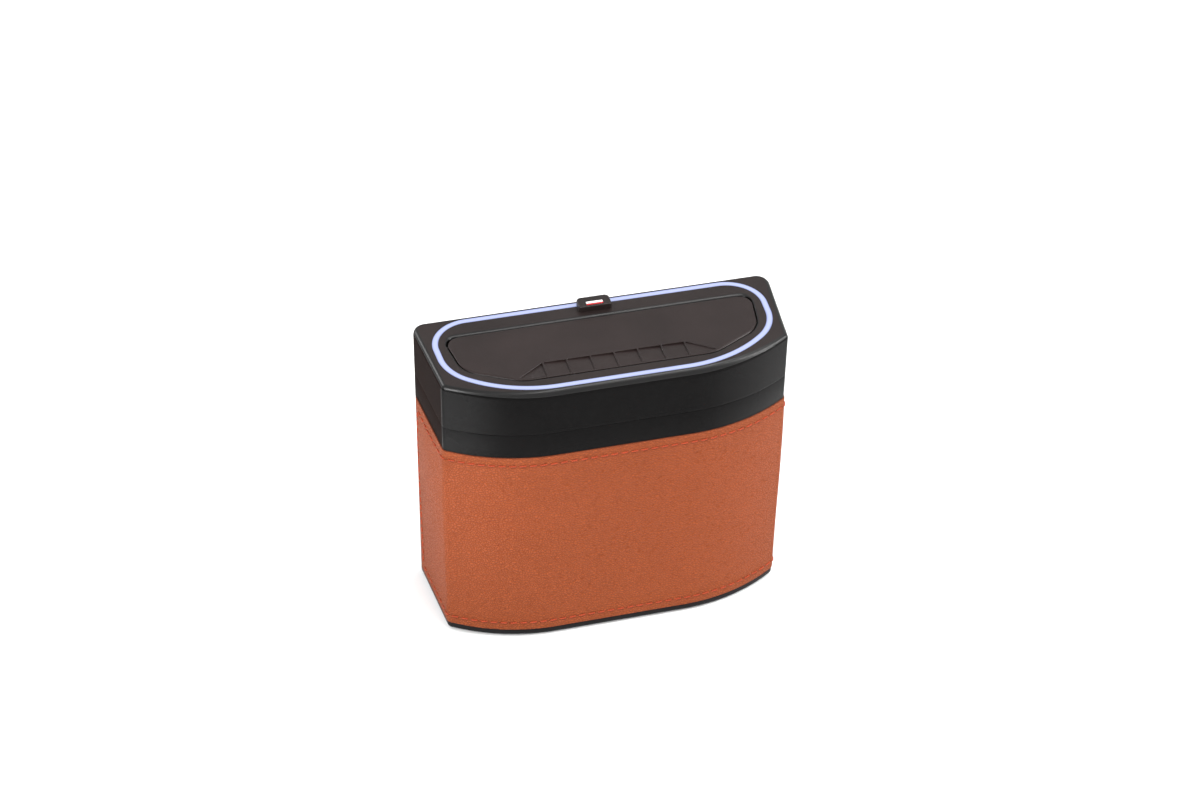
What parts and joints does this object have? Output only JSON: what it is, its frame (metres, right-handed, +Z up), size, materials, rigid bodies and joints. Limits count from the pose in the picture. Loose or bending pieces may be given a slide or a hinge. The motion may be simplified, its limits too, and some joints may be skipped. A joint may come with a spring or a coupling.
{
  "type": "car trash bin",
  "caption": "Slim leather-wrapped waste bin for a car, with a lift-off cover, a hinged lid flap, a light ring and a rear hanger.",
  "frame": {"origin": "middle of the base, on the surface the bin stands on", "axes": "+X to the bin's right along its width, +Y towards its flat back, +Z up"},
  "size_m": [0.2396, 0.1023, 0.2102],
  "materials": {
    "bucket_black": "satin black moulded plastic",
    "pad_rubber": "matt black rubber",
    "leather_tan": "orange-brown pebbled leather",
    "thread_tan": "orange thread",
    "cover_black": "satin to gloss black moulded plastic",
    "flap_black": "satin warm black moulded plastic",
    "switch_black": "satin black moulded plastic",
    "inner_black": "matt black moulded plastic",
    "ring_light": "frosted light guide, lit a pale lavender white",
    "screw_steel": "plated steel",
    "magnet_steel": "nickel plated magnet",
    "board_green": "green printed circuit board",
    "led_white": "white light-emitting diode body",
    "battery_blue": "blue shrink sleeve",
    "lead_red": "red insulation",
    "button_white": "white moulded plastic",
    "stripe_red": "red moulded plastic"
  },
  "bodies": {
    "bin": {"bucket": "bucket_black", "anti_slip_pad": "pad_rubber", "leather_wrap": "leather_tan", "wrap_stitching": "thread_tan", "rim_collar": "cover_black", "bag_ring": "inner_black", "hanger_hook": "inner_black", "hanger_screws": "screw_steel"},
    "cover": {"top_cover": "cover_black", "light_ring": "ring_light", "lid_frame": "inner_black", "frame_screws": "screw_steel", "hinge_pin_left": "screw_steel", "hinge_pin_right": "screw_steel", "switch_housing": "switch_black", "led_board": "board_green", "leds": "led_white", "tact_switch": "inner_black", "battery": "battery_blue", "battery_door": "inner_black", "battery_leads": "lead_red", "keeper_magnets": "magnet_steel", "lid_bumpers": "pad_rubber"},
    "flap": {"lid_flap": "flap_black", "flap_magnets": "magnet_steel"},
    "button": {"light_button": "button_white", "button_stripe": "stripe_red"}
  },
  "joints": [
    {"name": "cover_lift", "type": "slide", "parent": "bin", "child": "cover", "axis": [0, 0, 1], "range_m": [0, 0.04]},
    {"name": "flap_hinge", "type": "hinge", "parent": "cover", "child": "flap", "pos_m": [0, 0.01695, 0.2034], "axis": [-1, 0, 0], "range_deg": [0, 85]},
    {"name": "button_press", "type": "slide", "parent": "cover", "child": "button", "axis": [0, 0, -1], "range_m": [0, 0.0005], "stiffness_N_per_m": 400}
  ]
}
